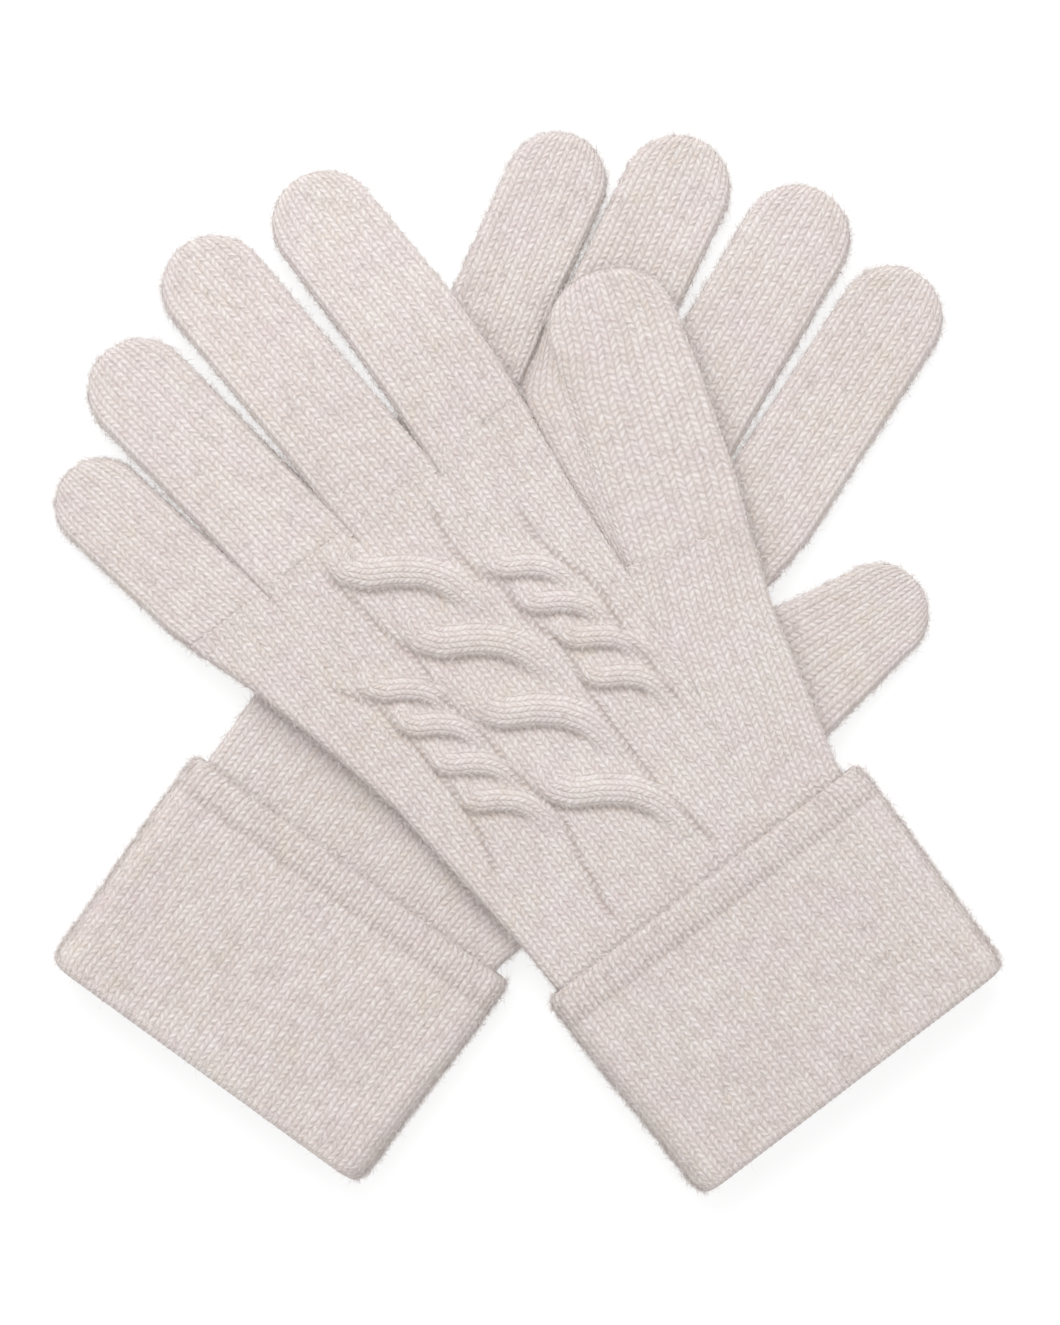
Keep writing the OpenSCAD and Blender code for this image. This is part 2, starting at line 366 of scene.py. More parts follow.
def cables(u, v):
    """What the cables do to the back of the hand: height in mm, painted shade in their grooves and
    under their strands, and for each point the number of its strand with the legs and courses
    counted along it."""
    height = np.zeros_like(u)
    dark = np.zeros_like(u)
    number = np.zeros(u.shape, int)
    legs = np.zeros_like(u)
    courses = np.zeros_like(u)
    strands = [(corner, *strand_sizes["wide"]) for corner in wide_crossings]
    strands = strands + [(corner, *strand_sizes["narrow"]) for corner in left_rope + right_rope]
    for i, (corner, scale, broad, tall) in enumerate(strands):
        near = np.abs(u - corner[0] - 13 * scale) < 26 * scale
        near = near & (np.abs(v - corner[1]) < 32 * scale)
        if not near.any():
            continue
        along, aside, high = strand(u[near], v[near], corner, scale)
        steep = np.clip(1 - (aside / broad) ** 2, 0, 1) ** 0.6
        gentle = 1 - 0.72 * smooth(aside, broad * 0.1, broad * 1.35)
        gentle = gentle - 0.28 * smooth(aside, broad, broad * 3)
        over = high * np.where(aside < 0, steep, gentle)
        # Painted shadow: a dark band along the low side of each strand, where its undercut is in
        # shade. It also sinks the knit a little.
        below = 0.8 * np.exp(-(((aside + broad + 0.15) / 1.1) ** 2)) * smooth(high, 0.5, 0.95)
        was = height[near]
        wins = (over * tall > was) & (over > 0.12)
        height[near] = np.where(wins, over * tall, was)
        dark_was = np.where(wins, dark[near] * (1 - smooth(over, 0.1, 0.5)), dark[near])
        covered = smooth(height[near], tall * 0.4, tall * 0.75)
        dark[near] = np.maximum(dark_was, below * (1 - covered))
        number[near] = np.where(wins, i + 1, number[near])
        inside = wins & (over > 0.3)
        number[near] = np.where(wins & ~inside, 0, number[near])
        legs[near] = np.where(inside, aside / rope_stitch_w + 40, legs[near])
        courses[near] = np.where(inside, -along / rope_stitch_h, courses[near])
    grooves = np.zeros_like(u)
    for line in cable_grooves:
        at, value = np.array(line[::-1], float).T
        middle = np.interp(v, at, value)
        ends = smooth(v, at[0] - 3, at[0] + 2) * (1 - smooth(v, at[-1] - 2, at[-1] + 3))
        # The grooves are dotted with dark as well as sunk: painted shade in their holes.
        dots = 0.62 + 0.38 * np.cos(2 * np.pi * v / stitch_h)
        grooves = np.maximum(grooves, ends * dots * np.exp(-(((u - middle) / 0.85) ** 2)))
    grooves = grooves * (1 - smooth(height, 0.5, 1.2))
    fade = smooth(v, 58, 68) * (1 - smooth(v, 176, 184))
    height = height - 0.45 * dark - 0.7 * grooves
    return height * fade, np.maximum(dark, 1.1 * grooves) * fade, number, legs, courses


def ripples(u, v, seed):
    """The small unevenness of soft knit that has been laid down by hand."""
    a = np.sin(u * 0.11 + seed) * np.sin(v * 0.083 + 2.1 * seed)
    b = np.sin(u * 0.19 - v * 0.13 + 1.7 * seed)
    return 0.16 * a + 0.09 * b


def hand_place(glove, face, block):
    """The laying of one face of a hand: the part up to the fingers, or the thumb's gusset."""
    sign = 1 if face == "upper" else -1
    side = glove.side
    cabled = glove.seen(face) == "back"
    root_v = roots[side]
    main_courses = round((root_v - cuff_start) / stitch_h)
    gusset_courses = round((crotch_v - cuff_start) / stitch_h)
    seam_rim = 0.02
    quarter = np.pi / 2 - 1
    twisted = []

    def edge_rim(v):
        """Radius of the turn at the hand's edges, wider in the wrist towards the fold."""
        return 2.0 + np.maximum(0, (wrist_long - v) / wrist_long) * 2.6

    def place(p, q):
        legs = hand_legs if block == "hand" else thumb_legs
        t = np.clip((p - (0 if block == "hand" else hand_legs)) / legs, 0, 1)
        if block == "hand":
            last = main_courses
            v = cuff_start + (root_v - cuff_start) * np.clip(q / last, 0, 1)
            rim = edge_rim(v)
            bare = smooth(v, crotch_v - 1.5, crotch_v + 2.5)
            outer = little_edge[side](v)
            inner = split_line[side](v)
            last_rim = seam_rim + bare * 2
            u, rise = across(t, outer, inner, rim, last_rim)
            turns = quarter * (rim + last_rim)
            girth = t * (inner - outer + turns) + outer - rim * quarter
            rise = np.where(t > 0.9, rise * bare + (1 - bare), rise)
        else:
            last = gusset_courses
            w = np.clip(q / last, 0, 1)
            v_in = cuff_start + (thumb_root[0][1] - cuff_start) * w
            v_out = cuff_start + (thumb_root[1][1] - cuff_start) * w
            rim = edge_rim(v_out)
            inner = split_line[side](v_in)
            outer = thumb_edge(v_out)
            u, rise = across(t, inner, outer, seam_rim, rim)
            turns = quarter * (seam_rim + rim)
            girth = 42.5 - (1 - t) * (outer - inner + turns) + turns
            rise = np.where(t < 0.1, 1, rise)
            mix = (u - inner) / (outer - inner)
            v = v_in + (v_out - v_in) * mix
        low, high = glove.faces(v)
        middle = (low + high) / 2
        thick = (high - low) / 2
        share = smooth(rise, 0.05, 0.4)
        shade = np.zeros_like(u)
        to_root = root_v - v if block == "hand" else v_out - 1.5 - v + (1 - w) * 40
        extra = ripples(u, v, 1.0 if face == "upper" else 2.0) * share
        extra = extra * smooth(v, 55, 75) * smooth(to_root, 1, 14)
        if block == "hand":
            for crease in root_creases[side]:
                gap = np.clip(np.abs(u - crease) / 2.2, 0, 1)
                dip = (1 - np.sqrt(1 - (1 - gap) ** 2)) * smooth(v, root_v - 8, root_v)
                thick = thick * (1 - dip)
        twisted[:] = [np.zeros(u.shape, int), u, u, 100 + girth / stitch_w]
        if cabled:
            height, shade, *twisted[:3] = cables(u, v)
            extra = extra + height * (1.0 if face == "upper" else 0.5)
        end = np.clip(q - last, 0, 1)
        thick = thick * (1 - end)
        share = share * (1 - smooth(end, 0, 0.2))
        z = middle + sign * (thick * rise + extra * (1 - end) * share)
        return glove.to_row(u, v, z), share, shade

    def turned(p, q):
        """The lower face counts its legs the other way, so that it faces down."""
        first = 0 if block == "hand" else hand_legs
        legs = hand_legs if block == "hand" else thumb_legs
        return place(first + legs - (p - first), q)

    def twist(p, q):
        """The strand that each point lies on, its legs and courses there, and the plain legs."""
        laid(p, q)
        return twisted

    laid = place if face == "upper" else turned
    return laid, twist


def knit_hand(glove, face, fine):
    """One face of a hand: the part up to the fingers and the thumb's gusset, seamed."""
    main_courses = round((roots[glove.side] - cuff_start) / stitch_h) + 1
    gusset_courses = round((crotch_v - cuff_start) / stitch_h) + 1
    name = f"{glove.side}_hand_{face}"
    laid, twist = hand_place(glove, face, "hand")
    main = knit_sheet(name, laid, hand_legs, main_courses, fine, twist=twist)
    laid, twist = hand_place(glove, face, "gusset")
    gusset = knit_sheet(
        name + "_gusset", laid, thumb_legs, gusset_courses, fine, start=(hand_legs, 0), twist=twist
    )
    return weld(name, main, gusset)


class Thread:
    """A socket of a material. Sums and products of threads add their own Math nodes."""

    def __init__(self, tree, socket):
        self.tree = tree
        self.socket = socket

    def node(self, kind, settings, inputs):
        made = self.tree.nodes.new(kind)
        for name, value in settings.items():
            if name == "stops":
                ramp = made.color_ramp.elements
                while len(ramp) < len(value):
                    ramp.new(0.5)
                for element, (place, colour) in zip(ramp, value):
                    element.position = place
                    element.color = colour
            else:
                setattr(made, name, value)
        for name, value in inputs.items():
            if isinstance(value, Thread):
                self.tree.links.new(value.socket, made.inputs[name])
            else:
                made.inputs[name].default_value = value
        return made

    def maths(self, operation, *values):
        inputs = dict(enumerate((self, *values)))
        made = self.node("ShaderNodeMath", {"operation": operation}, inputs)
        return Thread(self.tree, made.outputs[0])

    def clamped(self):
        return self.maths("MINIMUM", 1.0).maths("MAXIMUM", 0.0)

    def __add__(self, other):
        return self.maths("ADD", other)

    def __sub__(self, other):
        return self.maths("SUBTRACT", other)

    def __rsub__(self, other):
        return self * -1 + other

    def __mul__(self, other):
        return self.maths("MULTIPLY", other)

    __radd__ = __add__
    __rmul__ = __mul__


def wool(name, tone=1.0):
    """Oatmeal wool, plain knit: slanting legs of yarn, flecks of fawn and rose, soft fibres and
    painted shade.
    """
    made = bpy.data.materials.new(name)
    made.use_nodes = True
    tree = made.node_tree
    skin = tree.nodes["Principled BSDF"]
    begin = Thread(tree, None)
    knit = begin.node("ShaderNodeAttribute", {"attribute_name": "knit"}, {})
    place = begin.node("ShaderNodeTexCoord", {}, {})
    body = Thread(tree, place.outputs["Object"])
    count = begin.node(
        "ShaderNodeSeparateXYZ", {}, {"Vector": Thread(tree, knit.outputs["Vector"])}
    )
    p = Thread(tree, count.outputs["X"])
    q = Thread(tree, count.outputs["Y"])
    painted_shade = Thread(tree, count.outputs["Z"])

    def noise(scale, detail, rough=0.5):
        inputs = {"Vector": body, "Scale": scale, "Detail": detail, "Roughness": rough}
        found = begin.node("ShaderNodeTexNoise", {}, inputs)
        return Thread(tree, found.outputs["Fac"])

    loose = noise(420.0, 1.0)
    p = p + (noise(330.0, 1.0) - 0.5) * 0.35
    leg = p.maths("FLOOR")
    x = p - leg - 0.5
    way = 1 - (leg * 0.5).maths("FRACT") * 4
    row = q + way * x * lean + (loose - 0.5) * 0.9
    yarn = (row * (2 * math.pi)).maths("COSINE") * 0.5 + 0.5
    bow = (1 - x * x * leg_bow).maths("SQRT")
    stitch = bow * (yarn * 0.48 + 0.52)
    cell = begin.node("ShaderNodeCombineXYZ", {}, {"X": leg, "Y": (row + 0.5).maths("FLOOR")})
    dice = begin.node(
        "ShaderNodeTexWhiteNoise",
        {"noise_dimensions": "2D"},
        {"Vector": Thread(tree, cell.outputs["Vector"])},
    )
    fleck = Thread(tree, dice.outputs["Value"])
    streak = noise(1500.0, 3.0, 0.7)
    cloud = noise(95.0, 2.0)
    patch = noise(30.0, 1.0)

    def colour(r, g, b):
        return (r * tone, g * tone, b * tone, 1)

    def blended(factor, first, second):
        mix = begin.node("ShaderNodeMix", {"data_type": "RGBA"}, {0: factor, 6: first, 7: second})
        return Thread(tree, mix.outputs[2])

    fawn = colour(0.582, 0.521, 0.470)
    rose = colour(0.575, 0.498, 0.498)
    pale = colour(0.674, 0.638, 0.632)
    shade_and_streak_colour = colour(0.31, 0.240, 0.205)
    base = blended((cloud * 2.6 - 0.8).clamped(), fawn, rose)
    base = blended((fleck * 0.55 + patch * 0.5 - 0.1).clamped(), base, pale)
    # Painted shade: the wool darkens in the gaps between each stitch's legs and where the sheet
    # carries painted shade. Fine darker streaks of fibre are mixed in.
    shade_and_streaks = (1 - stitch) * 0.52 + painted_shade * 0.32 + (streak - 0.5) * 0.42
    base = blended(shade_and_streaks.maths("MAXIMUM", 0.0), base, shade_and_streak_colour)
    tree.links.new(base.socket, skin.inputs["Base Color"])
    skin.inputs["Roughness"].default_value = 0.92
    skin.inputs["Specular IOR Level"].default_value = 0.15
    skin.inputs["Sheen Weight"].default_value = 0.25
    skin.inputs["Sheen Roughness"].default_value = 0.5
    relief = stitch + (streak - 0.5) * 0.55 + (noise(3800.0, 2.0) - 0.5) * 0.25
    inputs = {"Strength": 0.75, "Distance": 0.00042, "Height": relief}
    bump = begin.node("ShaderNodeBump", {}, inputs)
    tree.links.new(bump.outputs["Normal"], skin.inputs["Normal"])
    return made


# Every piece that gets down later, with its number of hairs, what holds them and their slot.
downy = []
hand_hairs = {"upper": 8000, "lower": 2000}
hand_wool = wool("hand_wool")
for glove in gloves:
    for face in ("upper", "lower"):
        piece = knit_hand(glove, face, fineness[face])
        piece.data.materials.append(hand_wool)
        side = glove.side
        seen = glove.seen(face)
        glove.hold(piece)
        downy.append((piece, hand_hairs[face], glove.hold, "hand"))
        if face == "upper":
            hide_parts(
                f"{side}_{seen}_panel", f"{side}_wrist_{seen}", f"{side}_little_edge",
                f"{side}_thumb_edge", f"{side}_wrist_little_edge", f"{side}_wrist_thumb_edge",
            )
        else:
            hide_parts(f"{side}_{seen}_panel", f"{side}_wrist_{seen}")


# The fingers and thumbs: narrow tubes knitted on from the hand's live edge, closed at a
# round tip and pressed flat. Each is one soft piece.
finger_legs = 18
finger_rim = 1.9
finger_hairs = 2600
tip_lift = 0.2
tip_more = {"left": 1.6, "right": 0.9}


class Digit:
    """A digit's own millimetres: x across, y along with the knuckle at 0, z up. Edges are its
    two sides, cap its tip's start and length, bend where it starts to come down, land whether
    it comes down to the table, roll and shadow what its left side has more of."""

    def __init__(
        self, glove, name, edges=None, cap=None, legs=finger_legs,
        bend=None, land=True, roll=0, shadow=0,
    ):
        self.glove = glove
        self.name = name
        self.legs = legs
        self.roll = roll
        self.shadow = shadow
        joint = glove.joints[f"{glove.side}_{name}_fold"]
        self.body = joint["child"]
        self.knuckle = np.array(joint["pos_m"]) * 1000
        self.across = np.array(joint["axis"][:2])
        self.along = np.array([-self.across[1], self.across[0]])
        tip = self.own_corners(f"{glove.side}_{name}_end")
        root = self.own_corners(f"{glove.side}_{name}_base")
        self.reach = tip[:, 1].max()
        half = np.abs(tip[:, 0]).max() + 0.25
        if edges:
            self.left = curve(edges[0])
            self.right = curve(edges[1])
            self.cap_from, self.cap_long = cap
            self.root = edges[0][0][0]
        else:
            self.root = root[:, 1].min() + 1.0
            at = self.root + np.array([-4, 3, 9, 24, 60])
            free = np.column_stack([at, half - np.array([2.4, 0.7, 0, 0, 0])])
            snug = np.column_stack([at, half + np.array([0.5, 0.5, 0.4, 0, 0])])
            self.left = curve((free if name == "little" else snug) * (1, -1))
            self.right = curve(free if name == "index" else snug)
            self.cap_from = self.reach - half + tip_more[glove.side]
            self.cap_long = half + 0.2
        self.start = self.root - 2 * stitch_h
        self.bend = self.root if bend is None else bend
        self.level = (glove.floor + glove.ceiling) / 2
        self.fall = self.level - sheet_t - tip_lift if land else 0.3
        self.courses = (self.cap_from - self.start) / stitch_h
        self.cap_courses = (self.cap_long + 1.1) / stitch_h

    def own_corners(self, node):
        points = np.array([v.co for v in frame["nodes"][node].data.vertices])[:, :2] * 1000
        flat = points - self.knuckle[:2]
        return np.column_stack([flat @ self.across, flat @ self.along])

    def middle(self, y):
        """Height of the digit's middle along it: level, then down to the table."""
        soft = 4.0
        slope = self.fall / (self.reach - self.bend)
        return self.level - slope * soft * np.log1p(np.exp((y - self.bend) / soft))

    def place(self, face):
        sign = 1 if face == "upper" else -1

        def laid(p, q):
            t = sign * (2 * np.clip(p / self.legs, 0, 1) - 1)
            y_up = self.start + q * stitch_h
            y_low = np.minimum(y_up, self.cap_from)
            low_x = self.left(y_low)
            high_x = self.right(y_low)
            roll = finger_rim + self.roll * (1 - smooth(y_low, self.cap_from - 14, self.cap_from))
            x, rise = across((t + 1) / 2, low_x, high_x, roll, finger_rim)
            to_tip = np.clip((q - self.courses) / self.cap_courses, 0, 1)
            capped = to_tip > 0
            sx = t * np.sqrt(1 - to_tip**2 / 2)
            sy = to_tip * np.sqrt(1 - t**2 / 2)
            ring = np.maximum(np.hypot(sx, sy), 1e-6)
            half = (high_x - low_x) / 2
            out, cap_rise = across((ring + 1) / 2, -half, half, finger_rim, finger_rim)
            x = np.where(capped, (low_x + high_x) / 2 + out * sx / ring, x)
            y = np.where(capped, self.cap_from + out * sy / ring * self.cap_long / half, y_low)
            rise = np.where(capped, cap_rise, rise)
            flat = self.knuckle[:2] + np.outer(x, self.across) + np.outer(y, self.along)
            v = (flat - self.glove.fold) @ self.glove.along
            if self.name == "thumb":
                tucked = 1 - smooth(y, self.root - 1.4, self.root + 0.1)
            else:
                edge = roots[self.glove.side]
                tucked = 1 - smooth(v, edge - 1.3, edge + 0.1)
            seed = len(self.name) + 3 * (self.glove.side == "left")
            share = smooth(rise, 0.05, 0.4)
            soft = ripples(x + 40 * seed, y, seed) * share * smooth(y, self.root, self.root + 8)
            thick = (sheet_t - 0.12 * tucked) * rise + soft
            z = self.middle(y) + sign * thick
            # Painted shadow: darker towards the digit's left side, used along the web's crease.
            shade = self.shadow * np.exp(-np.maximum(x - low_x - 0.8, 0) / 2.2)
            return np.column_stack([flat, z]), share, shade

        return laid

    def knit(self, fine, name):
        rows = self.courses + self.cap_courses
        upper = knit_sheet(name, self.place("upper"), self.legs, rows, fine)
        lower = knit_sheet(name + "_lower", self.place("lower"), self.legs, rows, fine)
        return weld(name, upper, lower)

    def hang(self, piece):
        """Bakes a thing's place into its mesh."""
        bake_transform(piece)


left_index_edges = (
    ((-33, -12.6), (-17, -12.1), (5, -12.1), (27, -12.9)),
    ((-33, 14.4), (-17, 15.2), (-2, 15.1), (14, 13.9), (27, 12.9)),
)
left_thumb_edges = (
    ((-37, -18.1), (-20, -18.6), (6, -18.6), (18.5, -18.3)),
    ((-37, 13.5), (-23, 14.4), (4, 14.2), (18.5, 13.3)),
)
right_thumb_edges = (
    ((-43.7, -18), (-3.3, -16.3), (18, -12.3)),
    ((-43.7, 13.6), (-28.4, 16.7), (-11, 16.6), (18, 12.1)),
)
digits = []
for glove in gloves:
    for name in ("index", "middle", "ring", "little"):
        if glove is left and name == "index":
            digits.append(Digit(glove, name, left_index_edges, (31.0, 13.0), 19, bend=0.0))
        else:
            late_bend = 0.0 if glove is left and name == "middle" else None
            digits.append(Digit(glove, name, bend=late_bend))
digits.append(Digit(
    left, "thumb", left_thumb_edges, (18.5, 14.0), thumb_legs, bend=0.0, land=False, roll=5
))
digits.append(Digit(right, "thumb", right_thumb_edges, (18, 12.1), thumb_legs, bend=0.0))

finger_wool = wool("finger_wool")
for digit in digits:
    piece = digit.knit(fineness["upper"], f"{digit.glove.side}_{digit.name}")
    piece.data.materials.append(finger_wool)
    digit.hang(piece)
    downy.append((piece, finger_hairs, digit.hang, "fingers"))
    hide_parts(f"{piece.name}_base", f"{piece.name}_end")


# The left thumb's web: the slack side of its tube, which lies folded under it towards
# the hand as a narrow flat strip, lower than the thumb itself.
web_legs = 9
web_hairs = 260
web_drop = 1.0
web_edges = (
    (
        (-35.5, -19.5), (-23.8, -22.3), (-14, -24.6), (-4.1, -26.6), (6.0, -28.6), (8.5, -29.0),
        (11.2, -27.4), (16, -23.5), (22, -18.8), (26, -15.8),
    ),
    ((-35.5, -15.5), (0, -15.0), (26, -13.6)),
)
# The web's left side, along the crease by the hand, gets painted shadow.
web = Digit(left, "thumb", web_edges, (26, 1.2), web_legs, bend=0.0, land=False, shadow=0.7)
web.level = web.level - web_drop
piece = web.knit(fineness["lower"], "left_thumb_web")
piece.data.materials.append(finger_wool)
web.hang(piece)
downy.append((piece, web_hairs, web.hang, "fingers"))


# The turned-back cuffs: the end of each glove's tube, folded back over the wrist. Each
# face is a soft thick layer with a doubled hem, held down by one line of stitches.
cuff_legs = 66
cuff_half = 45.9
fold_r = 1.75
cuff_end = 60.0
hem_v = 51.6
cuff_skin = 1.95
side_legs = 8
mouth_v = 0.35
table_gap = 0.25
flap_wall = 0.0012
flap_parts = (
    ("", side_legs, cuff_legs - 2 * side_legs),
    ("_side_a", 0, side_legs),
    ("_side_b", cuff_legs - side_legs, side_legs),
)
middle_hairs = {"upper": 3600, "lower": 900}
side_hairs = {"upper": 1900, "lower": 600}


def cuff_shape(glove, v):
    """Middle height, half height and half width of the cuff at a distance from the fold."""
    low, high = glove.faces(np.maximum(v, 0))
    bottom = low - cuff_skin
    top = high + cuff_skin
    corner = 1.7 * np.clip(1 - v / 5, 0, 1) ** 2 + 1.2 * np.clip((v - 57) / 3, 0, 1) ** 2
    return (top + bottom) / 2, (top - bottom) / 2, cuff_half + 0.9 * smooth(v, 10, 50) - corner


def cuff_place(glove, face):
    """The laying of one face of a cuff, from the roll at its mouth to the edge of its hem."""
    sign = 1 if face == "upper" else -1
    rows = (cuff_end - fold_r) / stitch_h

    def place(p, q):
        t = np.clip(p / cuff_legs, 0, 1)
        t = t if face == "upper" else 1 - t
        along = fold_r + (q - 1) * (cuff_end - fold_r) / rows
        near_mouth = mouth_v + (fold_r - mouth_v) * np.clip(q, 0, 1)
        v = np.where(q < 1, near_mouth, np.minimum(along, cuff_end))
        middle, half_z, half = cuff_shape(glove, v)
        u, rise = across(t, -half, half, half_z * 0.95, half_z * 0.95)
        hem = smooth(v, hem_v - 0.8, hem_v + 2.4) * 0.35
        line = np.exp(-(((v - hem_v) / 0.7) ** 2))
        columns = np.cos(np.pi * p) ** 2
        ribs = smooth(v, hem_v - 1.2, hem_v + 0.4) * (1 - smooth(v, 56.5, 59)) * columns
        edge = np.clip((v - cuff_end + 1.5) / 1.5, 0, 1)
        fall = 1.5 * (1 - np.sqrt(1 - 0.98 * edge**2))
        tuck = np.clip((fold_r - v) / fold_r, 0, 1)
        under = fold_r * (1 - np.sqrt(1 - tuck**2)) + 0.12 * smooth(tuck, 0, 0.2)
        soft = ripples(u, v, 4.0 + sign) * 1.3 * smooth(rise, 0.2, 0.6) * smooth(v, 0, 12)
        z = middle + sign * (half_z + hem - 0.1 * line - fall - under + soft) * rise
        z = np.maximum(z, table_gap)
        share = (1.0 + 0.8 * smooth(v, hem_v, hem_v + 1)) * smooth(rise, 0.0, 0.15)
        share = share * (1 - smooth(edge, 0.6, 1.0))
        # Painted shade on the hem: a faint line, dark ticks along its line of stitches and dark
        # lines between the ribs.
        ticks = np.exp(-(((v - hem_v - 0.9) / 1.3) ** 2)) * columns
        shade = 0.1 * line + 0.5 * ticks + 0.22 * ribs
        return glove.to_row(u, v, z), share, shade

    return place


def flap_hang(glove, face, ending):
    """What holds one part of a flap and its down."""
    seen = glove.seen(face)
    flap_v = 30.0
    middle, half_z, half = cuff_shape(glove, np.array([flap_v]))
    flat_z = (middle + (half_z if face == "upper" else -half_z))[0]
    anchor = glove.to_row([0.0], [flap_v], [flat_z])[0] / 1000

    def hang(thing):
        """Every part of the flap turns with it; its side parts get a mesh of their own."""
        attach(thing, f"{glove.side}_cuff_{seen}_turn")
        if ending:
            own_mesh(thing)

    return hang


# The number of faces on each part's outside, before its wall is given its thickness.
cuff_faces = {}
cuff_wool = wool("cuff_wool")
cuff_rows = 1 + (cuff_end - fold_r) / stitch_h
for glove in gloves:
    for face in ("upper", "lower"):
        seen = glove.seen(face)
        place = cuff_place(glove, face)
        name = f"{glove.side}_cuff_{seen}"
        for ending, first, legs in flap_parts:
            piece = knit_sheet(
                name + ending + "_piece", place, legs, cuff_rows, fineness[face], start=(first, 0)
            )
            cuff_faces[piece.name] = len(piece.data.polygons)
            wall = piece.modifiers.new("wall", "SOLIDIFY")
            wall.thickness = flap_wall
            wall.offset = -1
            bpy.ops.object.modifier_apply(modifier=wall.name)
            bpy.ops.object.mode_set(mode="EDIT")
            bpy.ops.mesh.select_all(action="DESELECT")
            bpy.ops.mesh.edges_select_sharp(sharpness=1.0)
            bpy.ops.mesh.mark_sharp()
            bpy.ops.object.mode_set(mode="OBJECT")
            piece.data.materials.append(cuff_wool)
            if not ending:
                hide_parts(name, f"{glove.side}_hem_{seen}")
            hang = flap_hang(glove, face, ending)
            hang(piece)
            count = side_hairs[face] if ending else middle_hairs[face]
            downy.append((piece, count, hang, "cuff"))


# The fold round the cuff's mouth, where the tube turns back on itself: a soft roll that
# goes once round the flattened mouth.
fold_rows = 7
fold_hairs = 2400


def fold_place(glove):
    """The laying of the roll: p goes round the mouth and q round the roll."""
    middle, half_z, half = (float(n[0]) for n in cuff_shape(glove, np.array([fold_r])))
    rim = half_z * 0.95

    def outer(p):
        """The line along the outside of the mouth, across and up."""
        turn = p % (2 * cuff_legs)
        t = np.where(turn <= cuff_legs, turn / cuff_legs, 2 - turn / cuff_legs)
        sign = np.where(turn <= cuff_legs, 1, -1)
        u, rise = across(t, -half, half, rim, rim)
        return u, middle + sign * half_z * rise

    def place(p, q):
        u, z = outer(p)
        ahead = outer(p + 0.05)
        behind = outer(p - 0.05)
        du = ahead[0] - behind[0]
        dz = ahead[1] - behind[1]
        size = np.maximum(np.hypot(du, dz), 1e-9)
        nu = -dz / size
        nz = du / size
        angle = 2 * np.pi * q / fold_rows
        out = fold_r * (np.cos(angle) - 1)
        v = fold_r * (1 - np.sin(angle))
        points = glove.to_row(u + nu * out, v, np.maximum(z + nz * out, 0.2))
        return points, np.ones_like(u) * 0.8, np.zeros_like(u)

    return place


for glove in gloves:
    name = f"{glove.side}_mouth_fold"
    ring = knit_sheet(name, fold_place(glove), 2 * cuff_legs, fold_rows, fineness["upper"])
    piece = weld(name, ring)
    piece.data.materials.append(cuff_wool)
    glove.hold(piece)
    downy.append((piece, fold_hairs, glove.hold, "cuff"))


# The inside of the wrist, seen through the mouth: the same knit from behind, from the
# fold to where the flattened tube closes on itself.
lining_legs = 60
lining_end = 52.0
lining_half = 42.2
lining_t = 1.45


def lining_place(glove, face):
    """The laying of one inner face of the wrist, which faces into the tube."""
    sign = 1 if face == "upper" else -1

    def place(p, q):
        t = np.clip(p / lining_legs, 0, 1)
        t = 1 - t if face == "upper" else t
        v = np.minimum(fold_r + q * stitch_h, lining_end)
        low, high = glove.faces(v)
        thick = (high - low) / 2 - lining_t
        end = smooth(fold_r + q * stitch_h, lining_end - 0.1, lining_end + 1.5)
        rim = np.maximum(thick * 0.9, 0.1)
        u, rise = across(t, -lining_half, lining_half, rim, rim)
        z = (low + high) / 2 + sign * np.maximum(thick, 0.15) * rise * (1 - end)
        share = 0.6 * smooth(rise, 0.05, 0.4) * (1 - end)
        return glove.to_row(u, v, z), share, np.zeros_like(u)

    return place


# The lining is the same wool painted a little darker: painted shade inside the tube.
lining_wool = wool("lining_wool", tone=0.93)
lining_rows = (lining_end - fold_r + 1.6) / stitch_h
for glove in gloves:
    name = f"{glove.side}_lining"
    sheets = []
    for face in ("upper", "lower"):
        place = lining_place(glove, face)
        sheets.append(knit_sheet(
            f"{name}_{face}", place, lining_legs, lining_rows, fineness["lower"]
        ))
    piece = weld(name, *sheets)
    piece.data.materials.append(lining_wool)
    glove.hold(piece)


# The down: fine loose ends of goat's hair that stand off the knit all over and make the
# soft edge of every piece. They are held by the yarn and move with it.
shortest = 0.0008
longest = 0.0045
thinnest = 0.00003
thickest = 0.000055
hair_shape = (
    (0, 2, 1), (0, 1, 4), (0, 4, 3), (1, 2, 5), (1, 5, 4), (2, 0, 3), (2, 3, 5),
    (3, 4, 6), (4, 5, 6), (5, 3, 6),
)


def down_wool(name):
    """Pale hair, each one in its own tone between fawn and cream."""
    made = bpy.data.materials.new(name)
    made.use_nodes = True
    tree = made.node_tree
    skin = tree.nodes["Principled BSDF"]
    begin = Thread(tree, None)
    hair = begin.node("ShaderNodeAttribute", {"attribute_name": "hair"}, {})
    tone = begin.node("ShaderNodeValToRGB", {"stops": (
        (0.0, (0.48, 0.41, 0.38, 1)), (0.45, (0.61, 0.56, 0.54, 1)), (1.0, (0.76, 0.73, 0.715, 1)),
    )}, {"Fac": Thread(tree, hair.outputs["Fac"])})
    tree.links.new(tone.outputs["Color"], skin.inputs["Base Color"])
    skin.inputs["Roughness"].default_value = 0.8
    skin.inputs["Specular IOR Level"].default_value = 0.2
    return made


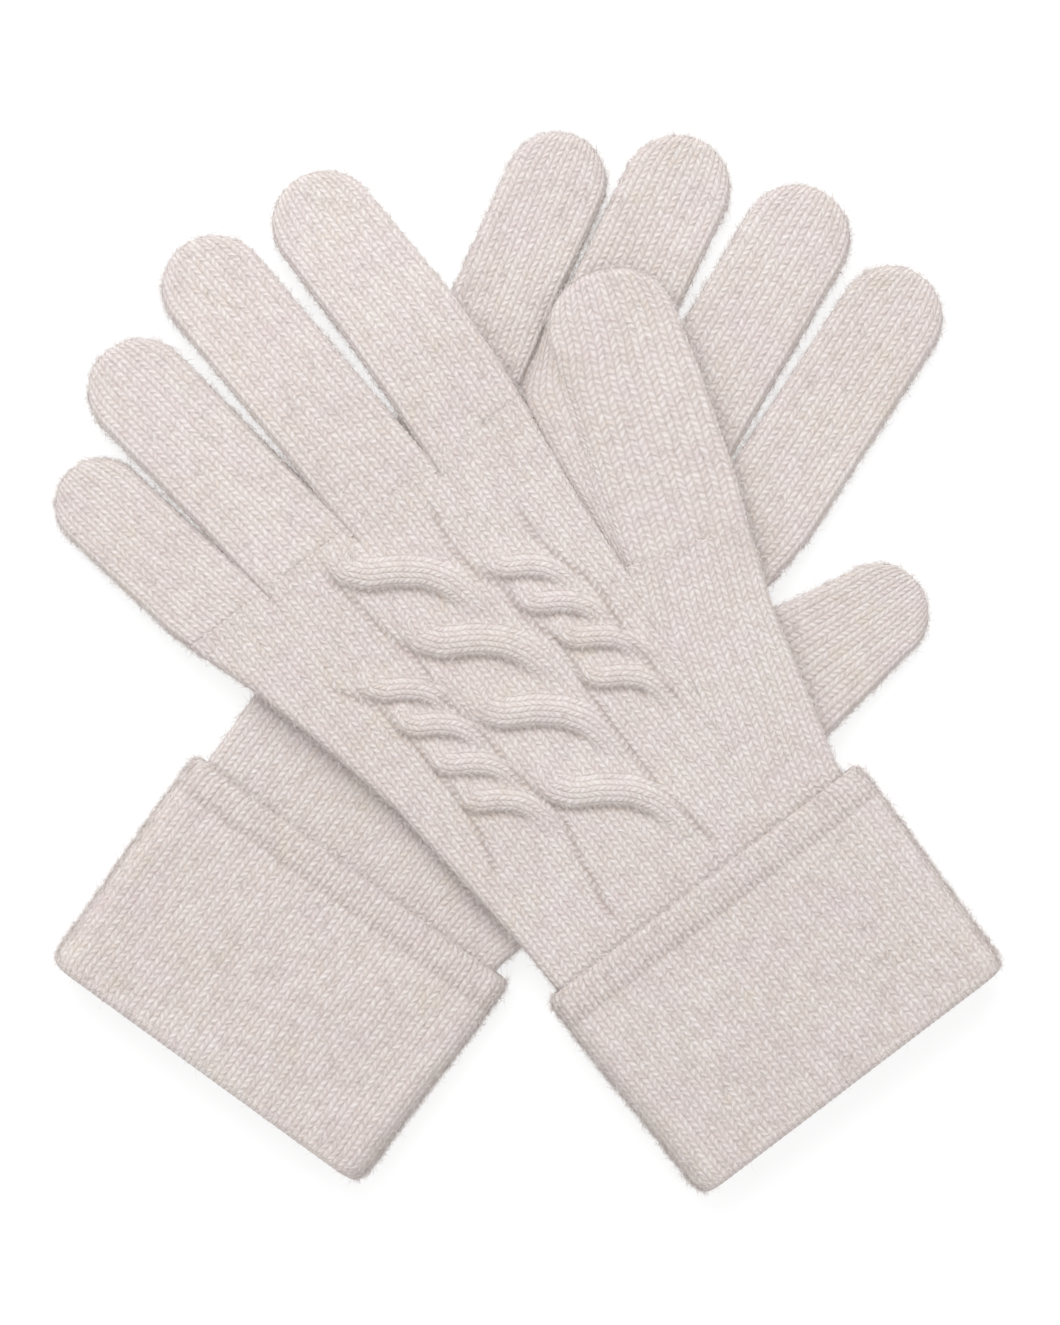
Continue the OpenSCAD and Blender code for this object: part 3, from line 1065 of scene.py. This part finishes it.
def down(piece, count, outside):
    """Tapered three-sided hairs over the first faces of a piece, most of them at its edges."""
    corners = np.zeros(len(piece.data.vertices) * 3)
    piece.data.vertices.foreach_get("co", corners)
    corners = corners.reshape(-1, 3)
    piece.data.calc_loop_triangles()
    thirds = np.zeros(len(piece.data.loop_triangles) * 3, int)
    piece.data.loop_triangles.foreach_get("vertices", thirds)
    owner = np.zeros(len(piece.data.loop_triangles), int)
    piece.data.loop_triangles.foreach_get("polygon_index", owner)
    thirds = thirds.reshape(-1, 3)[owner < outside]
    a, b, c = (corners[thirds[:, i]] for i in range(3))
    normal = np.cross(b - a, c - a)
    area = np.linalg.norm(normal, axis=1)
    normal = normal / np.maximum(area, 1e-15)[:, None]
    side_on = 1 - np.abs(normal[:, 2])
    chance = area * (0.5 + 8.0 * smooth(side_on, 0.3, 0.9)) * np.where(normal[:, 2] < -0.5, 0.3, 1)
    pick = random.choice(len(area), count, p=chance / chance.sum())
    w1, w2 = random.random((2, count, 1))
    flip = w1 + w2 > 1
    w1 = np.where(flip, 1 - w1, w1)
    w2 = np.where(flip, 1 - w2, w2)
    foot = a[pick] + (b - a)[pick] * w1 + (c - a)[pick] * w2
    out = normal[pick]
    lie = np.cross(out, random.normal(size=(count, 3)))
    lie = lie / np.maximum(np.linalg.norm(lie, axis=1), 1e-9)[:, None]
    rise = random.uniform(0.12, 0.75, (count, 1))
    long = random.gamma(5.0, 0.00042, (count, 1)).clip(shortest, longest)
    middle = foot + long * 0.5 * (lie + out * rise)
    tip = middle + long * 0.5 * (lie * 0.7 + out * rise * random.uniform(-0.6, 0.9, (count, 1)))
    tip = tip + random.normal(0, 0.16, (count, 3)) * long
    low_z = corners[:, 2].min()
    middle[:, 2] = np.maximum(middle[:, 2], low_z)
    tip[:, 2] = np.maximum(tip[:, 2], low_z)
    way = tip - foot
    first = np.cross(way, random.normal(size=(count, 3)))
    first = first / np.maximum(np.linalg.norm(first, axis=1), 1e-12)[:, None]
    second = np.cross(way / np.linalg.norm(way, axis=1)[:, None], first)
    thick = random.uniform(thinnest, thickest, (count, 1))
    rows = []
    for ring, size in ((foot, 1.0), (middle, 0.8)):
        for i in range(3):
            turn = i * math.tau / 3
            rows.append(ring + size * thick * (first * math.cos(turn) + second * math.sin(turn)))
    rows.append(tip)
    points = np.stack(rows, axis=1).reshape(-1, 3)
    starts = len(rows) * np.arange(count)[:, None, None]
    faces = (np.array(hair_shape)[None] + starts).reshape(-1, 3)
    mesh = bpy.data.meshes.new(piece.name + "_down")
    mesh.from_pydata(points.tolist(), [], faces.tolist())
    hair = mesh.attributes.new("hair", "FLOAT", "POINT")
    hair.data.foreach_set("value", np.repeat(random.random(count), len(rows)))
    mesh.materials.append(hair_wool)
    hairs = bpy.data.objects.new(mesh.name, mesh)
    bpy.context.scene.collection.objects.link(hairs)
    return hairs


hair_wool = down_wool("hair_wool")
for piece, count, hang, slot in downy:
    outside = cuff_faces.get(piece.name, len(piece.data.polygons))
    hairs = down(piece, count, outside)
    hang(hairs)
